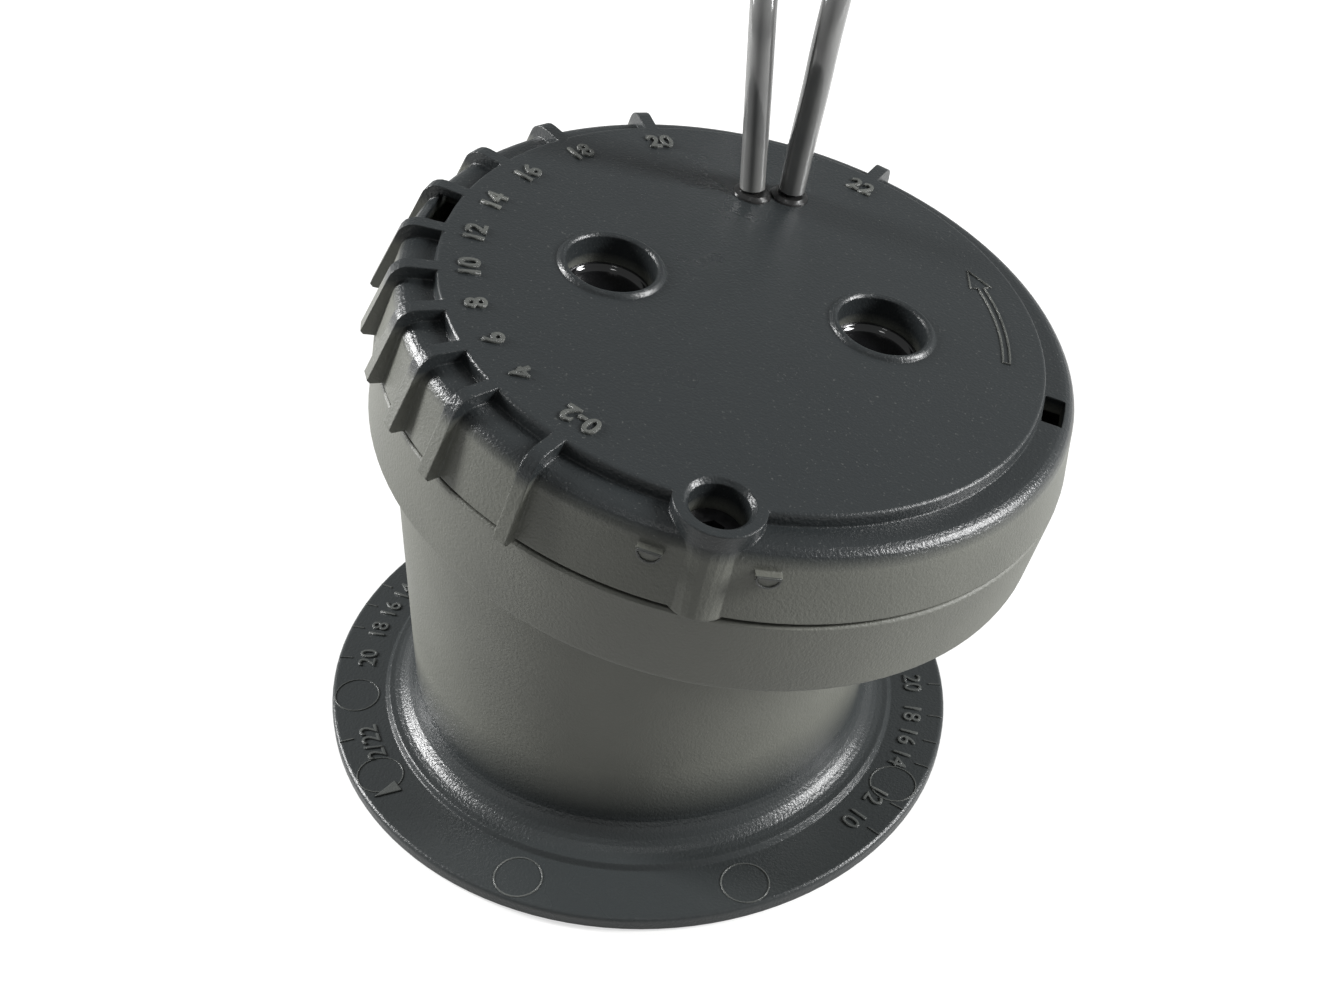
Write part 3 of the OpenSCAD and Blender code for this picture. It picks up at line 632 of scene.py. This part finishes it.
def seen_directly(tree, glossy_share):
    """1 for the camera and a share of it for reflections and what shows through glass."""
    ray = tree.nodes.new("ShaderNodeLightPath")
    both = tree.nodes.new("ShaderNodeMath")
    both.operation = "MAXIMUM"
    tree.links.new(ray.outputs["Is Glossy Ray"], both.inputs[0])
    tree.links.new(ray.outputs["Is Transmission Ray"], both.inputs[1])
    weighed = tree.nodes.new("ShaderNodeMath")
    weighed.operation = "MULTIPLY_ADD"
    weighed.inputs[1].default_value = glossy_share
    tree.links.new(both.outputs["Value"], weighed.inputs[0])
    tree.links.new(ray.outputs["Is Camera Ray"], weighed.inputs[2])
    return weighed.outputs["Value"]


def paper():
    """White paper that keeps the object's shadow."""
    material, tree, surface = shader("floor_paper")
    surface.inputs["Base Color"].default_value = (0.42, 0.42, 0.415, 1)
    surface.inputs["Roughness"].default_value = 0.9
    surface.inputs["Specular IOR Level"].default_value = 0.1
    surface.inputs["Emission Color"].default_value = (1, 1, 1, 1)
    seen = spread(tree, seen_directly(tree, 0.5), 0.0, 0.64, 0, 1)
    tree.links.new(seen, surface.inputs["Emission Strength"])
    return material


deselect()
bpy.ops.mesh.primitive_plane_add(size=6.0, location=(0, 0, -0.0002))
floor = bpy.context.object
floor.name = "floor"
floor.data.materials.append(paper())


def lamp(name, azimuth, elevation, distance, size, power):
    """An area lamp that looks at the object from a compass direction."""
    a = radians(azimuth)
    e = radians(elevation)
    away = Vector((sin(a) * cos(e), -cos(a) * cos(e), sin(e)))
    data = bpy.data.lights.new(name, "AREA")
    data.shape = "RECTANGLE"
    data.size = size[0]
    data.size_y = size[1]
    data.energy = power
    light = bpy.data.objects.new(name, data)
    bpy.context.collection.objects.link(light)
    aim = Vector((0, 0, 0.05))
    light.matrix_world = Matrix.Translation(aim + away * distance) @ (
        away.to_track_quat("Z", "Y").to_matrix().to_4x4())


lamp("left", -80, 24, 0.70, (0.16, 0.36), 8.2)
lamp("right", 112, 26, 0.75, (0.16, 0.36), 8.6)
lamp("front", 34, 66, 0.90, (0.12, 0.12), 0.3)

world = bpy.data.worlds.new("studio")
scene.world = world
world.use_nodes = True
sky = world.node_tree
background = sky.nodes["Background"]
background.inputs["Color"].default_value = (0.95, 0.97, 0.97, 1)
sky.links.new(spread(sky, seen_directly(sky, 0.2), 0.18, 1.0, 0, 1),
              background.inputs["Strength"])

scene.view_settings.view_transform = "Standard"
